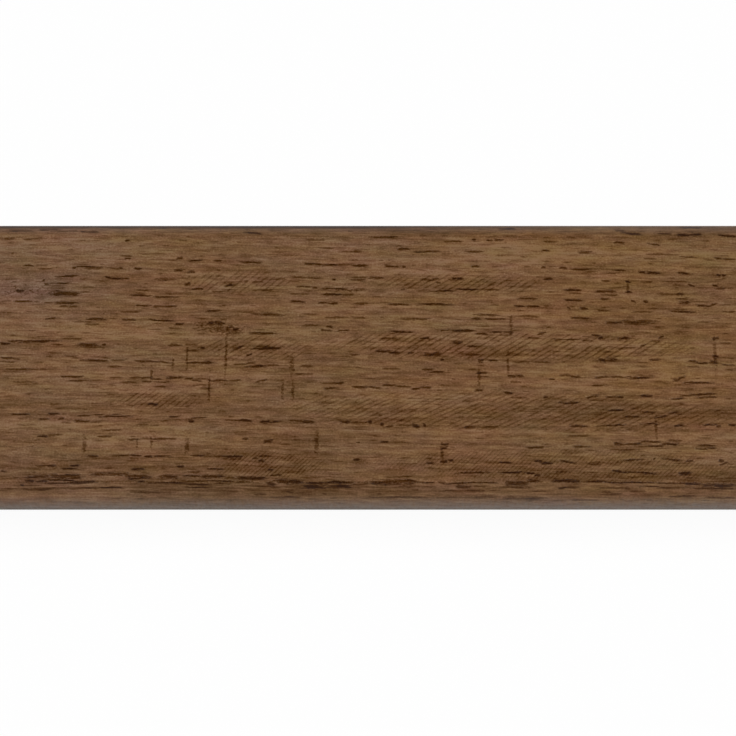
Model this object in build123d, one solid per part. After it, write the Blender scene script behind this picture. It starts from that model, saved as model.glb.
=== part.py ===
"""Floor T-moulding: one strip of stock that bridges the gap between two floors of equal height.

A crowned cap with rounded noses bears on both floors by a flat lip along each edge.
The stem below it drops into the gap between them. Both ends are sawn square.

Frame: +X along the strip, +Y across it, +Z up. The origin is under the middle of the stem's foot.
"""

import os
from math import isclose

from build123d import *

# Overall sizes, in millimetres
INCH = 25.4
LENGTH = 36 * INCH
CAP_WIDTH = 1.75 * INCH
OVERALL_HEIGHT = 0.625 * INCH

# Cap: the crown's rise over its edges, the height of those edges, and their roundings
CROWN_RISE = 0.8
EDGE_HEIGHT = 4.8
NOSE_RADIUS = 3.2
LIP_CORNER_RADIUS = 0.6

# Underside of the cap: a flat lip along each edge, and a shallow relief between the lip and the stem
LIP_WIDTH = 6.5
RELIEF_DEPTH = 0.9

# Stem: chamfered at its foot, to enter the gap, and rounded into the cap at its root
STEM_WIDTH = 0.375 * INCH
STEM_ROOT_RADIUS = 1.2
FOOT_CHAMFER = 1.0

# How close a corner has to be to where it is looked for
SAME_PLACE = 1e-6


def corners(sketch, across, height):
    """The two mirrored corners of the section at this distance from its middle and this height."""
    return [
        vertex
        for vertex in sketch.vertices()
        if isclose(abs(vertex.X), across, abs_tol=SAME_PLACE)
        and isclose(vertex.Y, height, abs_tol=SAME_PLACE)
    ]


def moulding_section():
    """The T-shaped section, drawn with its width along X and its height along Y."""
    cap_half = CAP_WIDTH / 2
    stem_half = STEM_WIDTH / 2
    lip_inner = cap_half - LIP_WIDTH
    edge_top = OVERALL_HEIGHT - CROWN_RISE
    lip_level = edge_top - EDGE_HEIGHT
    soffit_level = lip_level + RELIEF_DEPTH

    underside = [
        (stem_half, 0),
        (stem_half, soffit_level),
        (lip_inner - RELIEF_DEPTH, soffit_level),
        (lip_inner, lip_level),
        (cap_half, lip_level),
        (cap_half, edge_top),
    ]
    mirrored = [(-across, height) for across, height in reversed(underside)]
    crown = ThreePointArc((cap_half, edge_top), (0, OVERALL_HEIGHT), (-cap_half, edge_top))
    section = make_face(Polyline(*mirrored, *underside) + crown)

    section = fillet(corners(section, cap_half, edge_top), NOSE_RADIUS)
    section = fillet(corners(section, cap_half, lip_level), LIP_CORNER_RADIUS)
    section = fillet(corners(section, stem_half, soffit_level), STEM_ROOT_RADIUS)
    return chamfer(corners(section, stem_half, 0), FOOT_CHAMFER)


def t_moulding():
    """The strip: the section run along its length, the same both ways from the middle."""
    return extrude(Plane.YZ * moulding_section(), LENGTH / 2, both=True)


if __name__ == "__main__":
    os.makedirs("parts", exist_ok=True)
    export_step(t_moulding(), "parts/t_moulding.step")
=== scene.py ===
"""Looks of the floor T-moulding: a strip in a satin wood finish, with a raw underside and raw sawn ends.

The strip is one closed mesh: the section of the solid, run along its length in fine steps.
Its grain is drawn in millimetres along the strip and across its surface, round both noses.
The marks of the photographed stretch are placed one by one, and those of the rest are drawn by chance like
them.
Sizes are in millimetres until the mesh is made. Blender's own units are metres.
"""
from math import atan2, cos, hypot, pi, radians, sin, sqrt

import bpy
import numpy as np
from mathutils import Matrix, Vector


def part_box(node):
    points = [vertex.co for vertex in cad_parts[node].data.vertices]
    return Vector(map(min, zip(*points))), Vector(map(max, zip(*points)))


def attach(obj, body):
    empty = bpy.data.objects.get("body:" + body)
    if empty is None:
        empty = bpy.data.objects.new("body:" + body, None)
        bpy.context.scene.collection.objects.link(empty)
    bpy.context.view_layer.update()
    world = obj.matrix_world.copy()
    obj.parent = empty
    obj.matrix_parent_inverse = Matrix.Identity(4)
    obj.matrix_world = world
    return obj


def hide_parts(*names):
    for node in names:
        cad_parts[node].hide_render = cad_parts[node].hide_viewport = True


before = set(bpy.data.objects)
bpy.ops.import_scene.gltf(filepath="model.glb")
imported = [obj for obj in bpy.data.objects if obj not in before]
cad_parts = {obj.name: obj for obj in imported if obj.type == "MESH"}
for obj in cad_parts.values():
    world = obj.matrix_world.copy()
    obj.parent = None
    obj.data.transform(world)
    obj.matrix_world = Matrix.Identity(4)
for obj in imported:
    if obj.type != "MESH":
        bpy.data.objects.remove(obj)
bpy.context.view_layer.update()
chance = np.random.default_rng(7)

MM = 0.001

# Section of the strip, as the solid has it
INCH = 25.4
OVERALL_HEIGHT = 0.625 * INCH
CROWN_RISE = 0.8
EDGE_HEIGHT = 4.8
NOSE_RADIUS = 3.2
LIP_CORNER_RADIUS = 0.6
LIP_WIDTH = 6.5
RELIEF_DEPTH = 0.9
STEM_WIDTH = 0.375 * INCH
STEM_ROOT_RADIUS = 1.2
FOOT_CHAMFER = 1.0

lowest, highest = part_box("t_moulding")
LENGTH = (highest.x - lowest.x) / MM
CAP_HALF = (highest.y - lowest.y) / 2 / MM

# Mesh: steps along the strip, and the widest step across its show face, its roundings and its underside
STATIONS = 372
SHOW_STEP = 0.25
ROUND_STEP = 0.25
PLAIN_STEP = 1.6

# Bake map: rows that the length is folded into, their width and the gap round them as shares of the map,
# and the share of a row that each half of the underside gets
BAKE_ROWS = 3
BAKE_WIDTH = 0.94
BAKE_GAP = 0.004
BAKE_UNDERSIDE = 0.1

# Numbers of the strip's materials
FINISH, RAW, END = range(3)

# Camera: its lean from straight above towards the front edge, the rows of the photo that the strip fills,
# and the distance that the fit to those rows starts from
VIEW_LEAN = radians(20)
LENS = 100.0
SENSOR = 36.0
PHOTO_SIZE = 736
BAND_TOP_ROW = 225.92
BAND_BOTTOM_ROW = 509.7
FIT_ROUNDS = 12
FIRST_DISTANCE = 300.0

# Grain: how far it swings across the strip, over what length, and the half length of the photographed stretch
GRAIN_SWING = 1.5
GRAIN_SWING_LENGTH = 75.0
PHOTO_REACH = 57.5

# Pores of the photographed stretch, in the photo's pixels. Dark ones: left, right, the row at
# each end, and thickness. Faint and pale ones: left, right and row, and the thickness of the pale ones.
DARK_PORES = [
    (80, 100, 231.8, 231.8, 2.2), (24, 33, 239.3, 239, 2), (125, 130, 240.5, 240.2, 2),
    (124, 131, 258.4, 258.2, 2.4), (176, 183, 258, 258, 2.6), (24, 34, 265.6, 265.8, 2.4),
    (72, 76, 268, 267.6, 2.6), (76, 104, 266.6, 267.6, 2), (119, 123, 267.6, 268.2, 2.4),
    (134, 142, 268.6, 268.6, 2.4), (174, 183, 270.4, 269.8, 2.6), (56, 79, 276.6, 275.6, 2.4),
    (104, 112, 277.2, 278, 2), (110, 129, 278.4, 278.6, 2.4), (42, 45, 280.4, 280.2, 1.8),
    (163, 168, 279.8, 279.8, 2.2), (44, 49, 284, 284.2, 2.6), (48, 69, 283.6, 283, 2),
    (16, 24, 291.6, 291.2, 2.4), (49, 81, 293.4, 293.6, 5), (131, 152, 295.2, 296, 2),
    (152, 178, 296.4, 297, 2), (13, 33, 301.4, 301, 2.4), (52, 81, 303, 302.6, 2.8),
    (59, 79, 306.8, 306.6, 2.2), (136, 152, 305.2, 305.4, 2), (165, 177, 307, 306.6, 2.8),
    (44, 56, 319.6, 318, 1.8), (86, 106, 318.4, 319.2, 2.6), (120, 136, 320, 319.8, 2.2),
    (148, 174, 319.8, 320.6, 2.2), (174, 184, 324.4, 324.2, 2), (8, 23, 341.4, 340.4, 2.2),
    (18, 62, 341.8, 340.8, 2.4), (0, 11, 343.2, 344, 2.4), (76, 98, 344.6, 345, 3.4),
    (102, 106, 344.6, 344.4, 2), (169, 183, 345, 345, 2.4), (0, 14, 357.4, 358, 2.4),
    (12, 20, 358.6, 359.4, 2), (82, 109, 360.4, 361, 2.2), (110, 124, 360.4, 360.6, 2.2),
    (133, 160, 361, 361.4, 2.2), (158, 172, 361.4, 363, 2.2), (60, 84, 376.4, 376.4, 2.6),
    (140, 152, 378.2, 377.8, 2.4), (150, 162, 378.8, 379.2, 2), (166, 184, 378, 377.8, 2.4),
    (142, 152, 381.6, 381.6, 1.8), (148, 158, 403.6, 404, 2.4), (11, 20, 414, 414.6, 2),
    (15, 29, 414.4, 414.2, 2), (47, 60, 413.8, 413.8, 2), (38, 50, 419.2, 418.8, 1.8),
    (58, 64, 419, 418, 2.4), (78, 92, 415.8, 415.6, 1.8), (101, 132, 416.8, 416, 2.4),
    (112, 120, 414.6, 414.2, 1.6), (168, 180, 417, 417.4, 2), (74, 90, 421.4, 421.4, 2.4),
    (37, 48, 436, 435.8, 2), (98, 112, 436.4, 436.2, 2.2), (128, 140, 439.8, 439, 2),
    (152, 178, 439, 439, 2.2), (86, 98, 456.2, 456, 2.2), (130, 143, 455.6, 455.4, 2),
    (144, 152, 456, 456.4, 2.4), (154, 172, 456, 456, 2), (47, 56, 466, 466, 2.2), (70, 80, 466, 465.6, 2),
    (0, 6, 471, 471.2, 2.2), (177, 184, 466.4, 466.4, 2.2), (130, 144, 468.8, 469.2, 2.2),
    (90, 130, 474.4, 473.8, 3), (126, 150, 475.4, 477, 3.4), (26, 50, 477.4, 476.4, 3),
    (50, 84, 475.8, 476.6, 4.4), (60, 84, 479.2, 477.6, 2), (24, 34, 480.8, 481.2, 2.4),
    (36, 48, 481.4, 481.2, 2.2), (62, 74, 480.6, 480.6, 2), (128, 146, 479.4, 478, 2.4),
    (158, 178, 476.6, 477.4, 4), (138, 145, 481.6, 481.2, 1.8), (64, 98, 482.8, 482, 2.4),
    (20, 24, 484.6, 484.8, 2), (100, 124, 487.8, 487.4, 1.8), (244, 262, 232.4, 234, 2.2),
    (189, 203, 261, 259.8, 2), (213, 222, 260.4, 260.6, 2), (240, 262, 262, 262.6, 2.4),
    (304, 322, 263.8, 264.8, 2.2), (322, 338, 265.2, 264.8, 2.2), (350, 369, 265, 266, 2.6),
    (187, 195, 272, 271.6, 2.4), (332, 336, 279, 279.6, 2), (351, 365, 279.6, 280, 2.4),
    (184, 191, 284.4, 284.2, 3), (191, 204, 289.2, 288.8, 2.2), (224, 234, 286, 284.4, 2.4),
    (297, 314, 286.6, 287, 1.8), (312, 318, 287.6, 288, 2.2), (320, 350, 288.8, 288.4, 1.8),
    (320, 342, 293.8, 294.6, 2.2), (290, 306, 301.2, 302.2, 2), (317, 328, 302.4, 303, 2.4),
    (326, 338, 303.4, 303.2, 2), (206, 221, 311.4, 310.4, 2.2), (252, 287, 314, 315, 2.4),
    (208, 214, 322.6, 322.4, 2.6), (214, 225, 322.6, 323.6, 2.4), (229, 234, 327, 327.2, 2.2),
    (233, 239, 329.6, 329.8, 2), (247, 278, 333, 333.4, 2.4), (326, 333, 326.4, 326.8, 1.8),
    (320, 332, 329.8, 330.6, 2), (336, 350, 330.8, 330, 1.8), (200, 205, 348.6, 348, 2.2),
    (232, 243, 349.4, 346.6, 2.6), (250, 282, 348.6, 347.8, 3), (246, 252, 355.4, 354.8, 2),
    (349, 360, 354.8, 354.6, 1.8), (186, 217, 363, 362.8, 2.4), (246, 256, 363, 362.6, 2.2),
    (245, 266, 366.6, 366, 2.4), (184, 194, 378.6, 378.4, 2), (192, 202, 380.2, 381, 2),
    (208, 228, 380.6, 380.2, 2.2), (256, 267, 381.4, 379.8, 2.2), (334, 344, 383.4, 382.6, 2),
    (323, 338, 388.4, 388.2, 2.2), (352, 368, 386.8, 387.4, 2.4), (191, 206, 418, 417.4, 2),
    (188, 194, 421, 421, 3), (240, 252, 419.6, 421.2, 3), (260, 270, 421.6, 421.8, 3.2),
    (270, 282, 422.2, 421.2, 2), (302, 314, 421.6, 422, 2.6), (340, 350, 421.6, 421.8, 3),
    (242, 248, 438.6, 438.6, 2.4), (264, 273, 441.6, 440.6, 3.4), (356, 360, 442, 441.8, 2),
    (191, 204, 456.2, 455.6, 2), (222, 246, 456.4, 456.2, 2.2), (252, 258, 458.8, 458, 2),
    (258, 264, 460.4, 460.4, 2.2), (353, 360, 460, 459.6, 2.4), (207, 223, 469.4, 469, 1.8),
    (268, 273, 470, 470, 2), (184, 200, 475.6, 476, 2.4), (200, 224, 477, 476.4, 3),
    (234, 266, 478, 478.4, 3.4), (276, 281, 475.4, 475, 1.8), (208, 234, 480.8, 481.2, 2),
    (266, 276, 482.6, 485, 4), (274, 305, 481, 482, 4.4), (305, 330, 483, 483.2, 2.6),
    (304, 326, 486.4, 486.6, 4), (326, 356, 482.8, 482.4, 3), (326, 352, 487, 486.8, 3.4),
    (498, 516, 229, 229, 2), (472, 476, 239.6, 239.4, 2.2), (486, 493, 240.4, 240.4, 2),
    (494, 504, 240, 240, 2.2), (397, 410, 249.2, 248.8, 2.4), (414, 440, 251.6, 251.4, 1.8),
    (464, 483, 252.2, 251.8, 2.2), (541, 550, 250.6, 250.8, 2.2), (384, 399, 265.6, 267, 2),
    (402, 406, 267, 267, 2.2), (471, 480, 266.6, 266.6, 2), (541, 546, 267.2, 267, 2.2),
    (368, 384, 278, 278.2, 2.4), (432, 440, 279.4, 278.6, 2.4), (436, 441, 282.6, 282.4, 2),
    (452, 457, 279.2, 278.4, 2.4), (456, 464, 278.4, 279, 2.2), (543, 553, 278.8, 278.8, 2.4),
    (400, 405, 289.6, 288.8, 2), (427, 454, 291.4, 291, 2), (457, 480, 289.4, 290, 2),
    (516, 538, 298.6, 298.8, 2), (388, 411, 304.6, 304.4, 2.2), (418, 453, 304.2, 304.6, 2.2),
    (514, 525, 306, 306.4, 2.2), (526, 541, 306.4, 306.2, 2.4), (410, 430, 319.2, 318.8, 2),
    (474, 500, 314.6, 315.2, 2), (471, 482, 318.4, 318.8, 2.2), (482, 508, 318.8, 319.2, 1.8),
    (390, 415, 331.6, 332.4, 2.2), (440, 450, 330.8, 329.8, 2), (450, 476, 330.2, 330.8, 2.4),
    (476, 488, 333.4, 334.4, 2.2), (490, 503, 332.4, 331.6, 2.2), (503, 513, 332, 332.4, 2.6),
    (537, 546, 334, 332.6, 2.2), (420, 430, 338.6, 338.2, 2.2), (453, 463, 342.6, 342.4, 2.6),
    (376, 392, 351.8, 351.2, 2.4), (388, 400, 352.4, 352.8, 2.6), (408, 414, 353.4, 352.4, 2),
    (423, 442, 354.2, 354, 3.4), (440, 444, 360.2, 360, 2), (478, 484, 360.6, 360.6, 4),
    (488, 498, 360.6, 360.6, 1.8), (422, 434, 369.4, 369.8, 2.4), (427, 444, 372.4, 371.6, 2.2),
    (476, 488, 372.6, 372.8, 2.4), (508, 516, 376, 376.4, 2.4), (516, 524, 375.6, 376, 2.6),
    (549, 555, 379, 379.2, 2.4), (368, 382, 387.4, 388.4, 2.2), (382, 395, 386, 385.2, 2.2),
    (395, 412, 386.2, 386.6, 2), (411, 422, 389, 387.6, 2.2), (420, 432, 387.4, 387.6, 2.2),
    (474, 484, 390.6, 390.4, 2.2), (504, 513, 392.4, 393.4, 2.4), (543, 548, 397.8, 397.2, 2.2),
    (368, 372, 422, 422.2, 3), (380, 384, 424.4, 424.4, 3), (386, 394, 426.8, 426, 2.4),
    (412, 420, 424.6, 428, 4.4), (423, 426, 425, 425.6, 2.6), (464, 476, 427.2, 426.4, 2.8),
    (380, 388, 442, 441.8, 2.2), (441, 449, 444.8, 444.2, 2.2), (441, 448, 449.4, 447, 2.2),
    (526, 549, 447.6, 447.4, 2), (426, 434, 463, 463.4, 2), (440, 448, 462.4, 461.6, 3),
    (448, 454, 460.6, 460.2, 2.4), (500, 512, 462.4, 462.6, 2), (534, 542, 461, 461.4, 2.6),
    (540, 552, 463, 463.4, 2.8), (455, 492, 472.8, 472.4, 2.2), (500, 526, 472.8, 472, 2),
    (526, 535, 473, 473.6, 2.4), (534, 540, 475.2, 475, 2.2), (368, 420, 482.4, 481.8, 5),
    (384, 418, 480.8, 481, 2.4), (420, 434, 482.8, 482.6, 1.6), (438, 446, 482.4, 482.8, 3),
    (446, 466, 483.6, 483, 2), (466, 498, 482.4, 482.8, 1.8), (456, 472, 487, 487, 3.4),
    (505, 530, 484, 483.4, 5), (526, 540, 480.8, 481.2, 3), (614, 626, 230.4, 231.4, 2.2),
    (622, 643, 232.8, 235, 2.2), (676, 690, 234.6, 235.2, 3), (690, 702, 234.8, 234.2, 3),
    (680, 702, 227.6, 227.6, 1.8), (718, 736, 235.2, 236.4, 2.4), (614, 625, 242.2, 243.2, 2.6),
    (647, 660, 243.6, 245.2, 1.8), (578, 592, 252.6, 252.4, 3), (680, 697, 256.6, 257.4, 1.8),
    (714, 722, 258.4, 258.8, 2.2), (722, 736, 259.2, 259.8, 2), (559, 567, 268, 268, 2.6),
    (638, 646, 271.6, 272.4, 2.2), (646, 661, 272.8, 273, 2.8), (676, 690, 272.4, 274, 2.4),
    (716, 721, 275, 275.6, 2.2), (722, 726, 275.4, 275.6, 2.6), (601, 610, 281, 280.8, 2.4),
    (625, 631, 281, 282.6, 2), (625, 632, 291.6, 292, 2.4), (688, 695, 284.4, 286, 2.2),
    (712, 718, 285, 286.2, 2.2), (714, 726, 288.8, 288.6, 2), (564, 583, 289.8, 290.2, 2.4),
    (595, 616, 291.2, 291.4, 3), (676, 684, 294.4, 294.2, 2.6), (563, 584, 300, 300.4, 2.2),
    (600, 611, 299.2, 298.8, 2.2), (631, 636, 300.6, 302, 2.2), (643, 648, 301.4, 301.6, 2.6),
    (678, 690, 302.6, 302.4, 2.8), (696, 711, 304.8, 306.4, 2), (708, 718, 306, 303.2, 2.2),
    (567, 571, 307.4, 308.4, 2), (580, 588, 308.4, 308.8, 2.6), (670, 694, 311.6, 312.2, 2.4),
    (570, 590, 317.4, 318.8, 2), (606, 624, 322.8, 322.4, 2.2), (618, 652, 321.8, 322.6, 3),
    (592, 600, 334.8, 335.8, 2), (598, 603, 339, 337.6, 2.6), (615, 630, 338.8, 337.6, 2.4),
    (552, 580, 339.4, 339.8, 2), (658, 664, 338.4, 336.2, 2.2), (640, 646, 345.6, 345, 2),
    (712, 719, 338.8, 337.8, 2.4), (712, 719, 356, 357, 3), (710, 718, 361.6, 363, 3),
    (598, 606, 359, 360.6, 3), (606, 618, 358.8, 359.2, 2.8), (649, 660, 360, 359.6, 2.4),
    (688, 698, 361.4, 361.6, 2.2), (698, 708, 363.4, 363, 2.2), (722, 736, 364.8, 365, 1.8),
    (570, 580, 376.4, 376.8, 2.4), (594, 610, 377.6, 376.6, 2.2), (610, 624, 376.6, 377.4, 2),
    (618, 632, 378.4, 376.4, 1.8), (628, 652, 378.8, 377, 2.6), (673, 680, 380.4, 380, 2.2),
    (678, 686, 378.4, 376.6, 2.2), (684, 713, 383.2, 382.8, 2.2), (586, 600, 396.8, 396, 2.6),
    (604, 617, 396.8, 397.4, 2), (617, 624, 397, 397, 2.4), (640, 653, 396.2, 395.6, 2.8),
    (688, 716, 394.6, 393.8, 2.6), (697, 717, 397.4, 397, 2), (670, 684, 400, 398, 2),
    (558, 578, 402.6, 402.8, 2.2), (609, 625, 410.8, 409.8, 2), (656, 668, 417.8, 415.6, 2),
    (569, 588, 426, 426.6, 2.2), (598, 626, 426, 424.6, 2), (640, 658, 424.6, 423.4, 2.2),
    (674, 684, 426.6, 424.4, 2), (702, 716, 424.6, 424.6, 1.8), (716, 721, 426.2, 426.2, 2.2),
    (728, 736, 424.8, 424.6, 2.4), (572, 590, 446.6, 446.8, 2.2), (614, 624, 443.8, 445, 3.4),
    (622, 642, 444.2, 443.8, 2.2), (642, 662, 441.6, 442.2, 1.8), (648, 665, 446.2, 445.8, 1.8),
    (660, 680, 444.4, 443.6, 2.8), (696, 708, 449.2, 449.4, 1.8), (708, 716, 448.4, 448.2, 2.4),
    (622, 643, 460.2, 459.8, 2.2), (653, 656, 459.6, 458.4, 2.2), (662, 682, 459, 460, 2.4),
    (686, 694, 460.6, 460.6, 2), (719, 724, 461, 461.4, 2.6), (719, 728, 465.2, 462.6, 2),
    (560, 577, 460.6, 463.6, 2.2), (612, 622, 470.6, 472, 2.2), (622, 640, 472.4, 472.2, 2),
    (636, 658, 472, 473.8, 2), (678, 692, 474, 473, 3.4), (552, 580, 481, 481.6, 3),
    (600, 656, 482.4, 482.6, 1.8), (684, 702, 484, 483.6, 3), (700, 736, 484.8, 485.4, 3.4),
    (558, 567, 487.6, 487.4, 1.8), (639, 660, 486.6, 486.6, 1.8), (690, 736, 488, 488.6, 2.4),
]
FAINT_PORES = [
    (10, 33, 230.7), (38, 62, 229.8), (50, 80, 231), (0, 14, 239), (21, 48, 238.7), (120, 132, 255.8),
    (34, 48, 265.2), (38, 53, 268.7), (104, 123, 268.3), (84, 104, 268.5), (154, 178, 279.2),
    (137, 149, 290.1), (0, 12, 300.9), (44, 56, 302.4), (152, 166, 306.5), (120, 141, 311.9),
    (74, 92, 321.5), (84, 100, 324.4), (168, 180, 328.4), (50, 63, 344.5), (62, 82, 338.8), (82, 104, 347),
    (0, 16, 361.7), (64, 78, 356), (107, 122, 366.1), (0, 50, 369.2), (14, 37, 382.2), (70, 92, 380.6),
    (110, 122, 377.4), (130, 143, 377.5), (120, 138, 382.5), (152, 170, 382.2), (154, 166, 386.8),
    (92, 104, 414.7), (60, 72, 422.3), (90, 102, 422.5), (136, 148, 424.6), (100, 122, 429.9),
    (48, 62, 435), (140, 152, 438.7), (118, 130, 455.3), (56, 82, 460.8), (36, 48, 466.1), (60, 78, 468.7),
    (48, 62, 479.8), (44, 70, 483.5), (148, 184, 482.8), (22, 60, 488.6), (60, 100, 488.3), (24, 48, 489.8),
    (128, 176, 492.5), (304, 326, 240.1), (318, 335, 248.3), (339, 363, 251.8), (338, 350, 264.8),
    (292, 320, 277.4), (351, 368, 277.1), (272, 286, 278.8), (252, 264, 282), (350, 368, 289.5),
    (258, 274, 289.7), (212, 224, 292.1), (289, 309, 293.8), (342, 354, 295.1), (354, 368, 303.3),
    (302, 320, 314), (324, 346, 317.5), (353, 366, 318), (226, 241, 333.3), (300, 326, 325.4),
    (184, 198, 344.6), (184, 200, 350.8), (256, 270, 346.3), (233, 247, 364), (266, 280, 365.1),
    (300, 312, 366.2), (194, 210, 378.9), (228, 242, 380.3), (194, 208, 385.3), (200, 212, 388.3),
    (294, 312, 373.9), (320, 338, 383.3), (224, 246, 420.1), (290, 302, 420.8), (350, 368, 422.2),
    (204, 222, 456.4), (230, 242, 458.7), (258, 272, 456.3), (184, 200, 472.2), (224, 236, 477.5),
    (270, 282, 475.2), (184, 208, 481.1), (236, 252, 481.8), (184, 210, 484.4), (215, 232, 483.6),
    (184, 210, 487.1), (352, 368, 484), (254, 266, 494.6), (270, 300, 497.2), (370, 398, 237.3),
    (444, 462, 241.2), (543, 558, 241.5), (420, 434, 279.6), (416, 428, 291), (480, 500, 289.7),
    (402, 414, 319), (500, 545, 316.3), (500, 512, 335.2), (528, 542, 337.9), (380, 398, 338.2),
    (466, 478, 346.5), (464, 480, 354.3), (512, 532, 362.3), (530, 552, 362), (382, 400, 368.8),
    (510, 522, 381.9), (512, 528, 397.7), (394, 412, 425.3), (476, 500, 427.1), (384, 414, 476.7),
    (384, 416, 484.6), (400, 436, 486.6), (472, 486, 486.5), (496, 530, 487.2), (436, 486, 491),
    (532, 545, 491.6), (366, 430, 497.4), (430, 500, 497.3), (498, 546, 498.5), (658, 672, 234.1),
    (645, 680, 254.5), (643, 656, 258.8), (570, 591, 269.2), (614, 626, 270.7), (640, 652, 282),
    (666, 690, 281.8), (672, 684, 285.2), (568, 582, 293.3), (598, 618, 294.8), (658, 680, 294.1),
    (676, 688, 298.5), (598, 610, 310.6), (632, 650, 311.9), (674, 688, 309.5), (722, 736, 311.8),
    (630, 660, 320.8), (624, 650, 324), (697, 712, 321.7), (580, 592, 340.7), (650, 662, 341.1),
    (624, 636, 347.5), (720, 732, 343.3), (595, 620, 360.4), (708, 720, 362.5), (688, 700, 366.4),
    (560, 572, 375.6), (636, 656, 375.6), (592, 608, 385.4), (680, 692, 395.3), (640, 656, 412.2),
    (624, 642, 416.2), (668, 680, 412.7), (568, 588, 435.8), (610, 640, 449.7), (668, 682, 440.7),
    (697, 716, 445.4), (588, 600, 464.2), (555, 570, 472.2), (580, 610, 481.6), (656, 700, 483.5),
    (567, 580, 487.3), (600, 630, 487.8), (660, 690, 487.8), (600, 612, 492), (630, 645, 491.6),
    (600, 622, 494.3), (670, 696, 496.3), (704, 736, 498.2), (570, 600, 500.1),
]
PALE_STROKES = [
    (58, 95, 239.3, 3), (80, 90, 284.2, 4), (246, 272, 245.2, 3), (340, 352, 303.6, 3), (405, 416, 237.4, 3),
    (440, 476, 239, 3), (465, 484, 229, 3), (500, 514, 252, 6), (440, 462, 354.6, 3), (526, 536, 375.6, 3),
    (690, 714, 380, 5), (8, 24, 484.2, 3.5), (592, 602, 484.6, 3), (104, 112, 414, 3), (505, 545, 358.4, 3),
]

# Saw marks across the grain: column, upper and lower row, thickness
SAW_MARKS = [
    (84, 432, 459, 6), (187, 433, 460, 6), (187, 338, 376, 3), (226, 318, 390, 3.5), (209, 372, 406, 3.5),
    (282.5, 376, 404, 3.5), (292, 355, 380, 6), (293, 378, 404, 4), (316.5, 425, 459, 5.5),
    (511, 312, 342, 4), (508, 348, 379, 3.5), (479, 364, 388, 4.5), (715, 328, 381, 4),
    (656, 411, 445, 3.5), (442, 441, 465, 4.5), (628, 275, 299, 4), (151.5, 364, 385, 3),
    (151.5, 435, 451, 3), (137, 437, 451, 3), (173, 354, 373, 3),
]

# Ripple across the grain: left, right, upper and lower row, slant in degrees, spacing and strength
RIPPLES = [
    (165, 310, 268, 296, 42, 4.8, 0.8),
    (355, 570, 271, 296, 33, 4.6, 0.9),
    (180, 330, 332, 364, 32, 4.2, 0.8),
    (270, 740, 329, 364, 32, 4.5, 1.0),
    (100, 210, 388, 412, 38, 4.2, 0.9),
    (220, 800, 388, 436, 26, 4.2, 0.8),
    (200, 340, 448, 482, 44, 3.1, 0.9),
    (330, 800, 446, 486, 44, 3.1, 0.65),
]

# Mottled spots: middle column and row, width and height, and strength
SMUDGES = [(212, 327, 40, 22, 1.0), (233, 331, 20, 14, 1.0), (22, 291, 90, 20, 0.5), (345, 290, 30, 10, 1.0)]

# Cooler and warmer parts of the photographed stretch: middle column and row, width and height, and coolness
COOL_SPOTS = [
    (20, 270, 330, 160, 0.2), (30, 290, 120, 40, 0.34), (0, 350, 130, 44, 0.12), (340, 262, 330, 110, 0.06),
    (110, 480, 560, 50, 0.1), (660, 335, 800, 340, -0.15), (715, 290, 110, 50, 0.1),
]

# Light and dark bands: row at the middle of the photo, and tone over the mean
BANDS = [
    (226, -4), (232, -6), (235, -3), (242, 6), (248, 8), (262, 5), (272, 3), (280, -2), (286, 2),
    (292, 5), (300, 1), (310, 9), (320, 1), (328, 3), (340, 9), (350, -2), (358, 3), (366, 6), (378, 4),
    (392, 5), (400, 3), (410, 0), (420, -1), (424, -2), (430, 6), (440, 0), (444, 4), (456, 1), (466, -4),
    (472, -8), (480, -3), (488, -4), (494, -2), (498, 0), (508, 0),
]

# Painted sheen on the front edge, a grey standing in for reflected light: the rows where its paleness begins
# and is full.
# Wear at both edges: the columns where it begins and is full, and the length over which it comes and goes on
# the rest of the strip
PAINTED_SHEEN_ROWS = (494, 507)
WEAR_COLUMNS = (330, 640)
WEAR_LENGTH = 40.0

# Painted shade: dark lines along both edges, where the noses turn away from the light. Row, and tone over the
# mean where the edge is sound and where it is worn, and how far round the nose they fade
PAINTED_EDGE_SHADE = [
    (226.1, -56, -12), (227.4, -56, -10), (228.8, -12, -3), (230.5, 0, 0), (507, 0, 0), (508.6, -34, -22),
]
PAINTED_SHADE_FADE = 1.0

# Streams of long dark strands: left, right, row, thickness and strength
STREAMS = [
    (-2000, 1000, 481, 22, 1.1), (200, 2736, 481, 22, 0.6),
    (-60, 160, 342, 14, 0.6), (-200, 120, 232, 12, 0.4),
]

# Middles of the rippled bands across the grain, how far a mark's frayed edge reaches in half sizes,
# and a mark out of reach for faces that have none near
RIPPLE_LINES = (13.0, 3.5, -6.5, -15.0)
MARK_REACH = 1.6
PORE_LAYERS = 3
NO_MARK = (1e4, 1e4, 1.0, 1.0, 0.0, 0.0)

# Faint pores' thickness, in the photo's pixels, and their strength; how far the half sizes of a pore
# go past what shows of it
FAINT_THICKNESS = 2.0
FAINT_STRENGTH = 0.68
PORE_LENGTHENED = 1.3
PORE_THICKENED = 1.68

# Marks of the rest of the strip, in millimetres: the ranges of their sizes, and their steps along it
PORE_LINE_STEPS = (0.35, 1.1)
PORE_HALF_LENGTHS = (0.6, 2.6)
PORE_HALF_WIDTHS = (0.22, 0.36)
PORE_GAP = 6.0
SAW_STEP = 9.0
SAW_HALF_WIDTHS = (0.3, 0.45)
SAW_HALF_LENGTHS = (1.5, 5.0)
RIPPLE_STEP = 12.0
RIPPLE_HALF_LENGTHS = (12, 40)
RIPPLE_HALF_WIDTHS = (1.8, 3.2)
RIPPLE_SLANTS = (26, 44)
RIPPLE_SPACINGS = (0.6, 0.9)
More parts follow.
